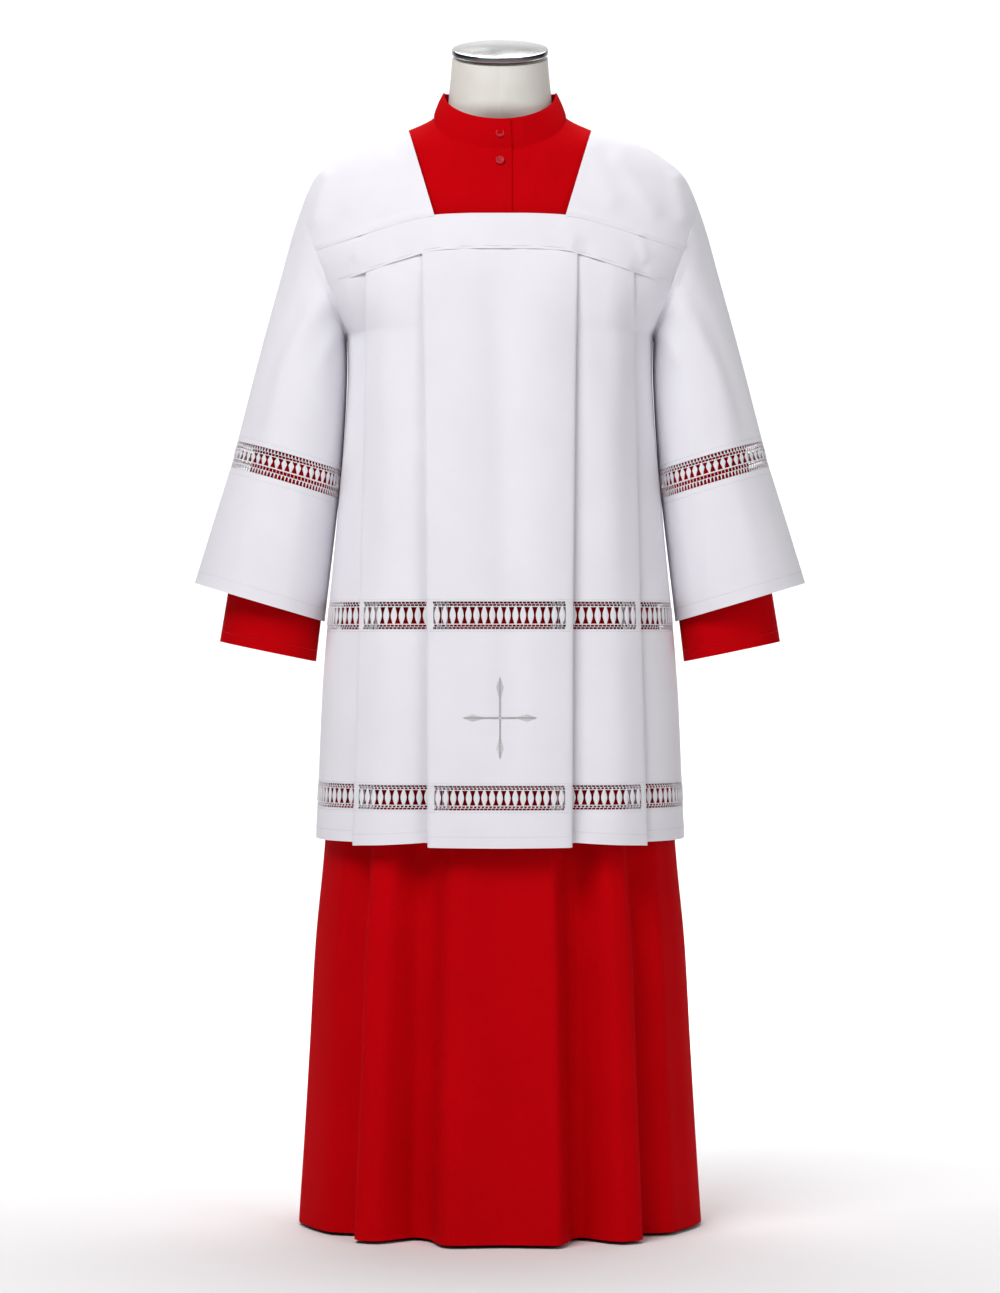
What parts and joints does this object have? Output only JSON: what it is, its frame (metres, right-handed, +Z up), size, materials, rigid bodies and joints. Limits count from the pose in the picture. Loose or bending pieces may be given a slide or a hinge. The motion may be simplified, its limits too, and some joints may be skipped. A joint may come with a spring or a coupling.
{
  "type": "altar server robe on limbless dress form",
  "caption": "Altar server's red cassock with stand collar under a white yoked, pleated and lace-banded surplice, worn by a limbless dress form on a round foot.",
  "frame": {"origin": "on the floor, at the centre of the underside of the stand's round foot", "axes": "+Z up, the robe's front faces -Y, the wearer's left is +X"},
  "size_m": [0.6828, 0.381, 1.3268],
  "materials": {
    "white_cloth": "matte polyester-cotton, cool white",
    "lace": "matte cotton ladder lace, white",
    "red_cloth": "soft sheen polyester-cotton twill, bright red",
    "button": "semi-gloss red polyester button",
    "form_cover": "smooth ivory stretch cover",
    "cap": "bright plated steel",
    "stand": "dark satin steel"
  },
  "bodies": {
    "root": {"cassock_back": "red_cloth", "cassock_bodice_left": "red_cloth", "cassock_bodice_right": "red_cloth", "cassock_button_chest": "button", "cassock_button_collar": "button", "cassock_collar": "red_cloth", "cassock_skirt_front": "red_cloth", "cassock_sleeve_left": "red_cloth", "cassock_sleeve_right": "red_cloth", "form_cap": "cap", "form_foot": "stand", "form_pole": "stand", "form_trunk": "form_cover", "surplice_body_back": "white_cloth", "surplice_body_front": "white_cloth", "surplice_cuff_left": "white_cloth", "surplice_cuff_right": "white_cloth", "surplice_hem_back": "white_cloth", "surplice_hem_front": "white_cloth", "surplice_lace_lower_back": "lace", "surplice_lace_lower_front": "lace", "surplice_lace_upper_back": "lace", "surplice_lace_upper_front": "lace", "surplice_middle_back": "white_cloth", "surplice_middle_front": "white_cloth", "surplice_shoulder_left": "white_cloth", "surplice_shoulder_right": "white_cloth", "surplice_sleeve_lace_left_back": "lace", "surplice_sleeve_lace_left_front": "lace", "surplice_sleeve_lace_right_back": "lace", "surplice_sleeve_lace_right_front": "lace", "surplice_sleeve_left": "white_cloth", "surplice_sleeve_right": "white_cloth", "surplice_yoke_back": "white_cloth", "surplice_yoke_front": "white_cloth"}
  },
  "joints": []
}
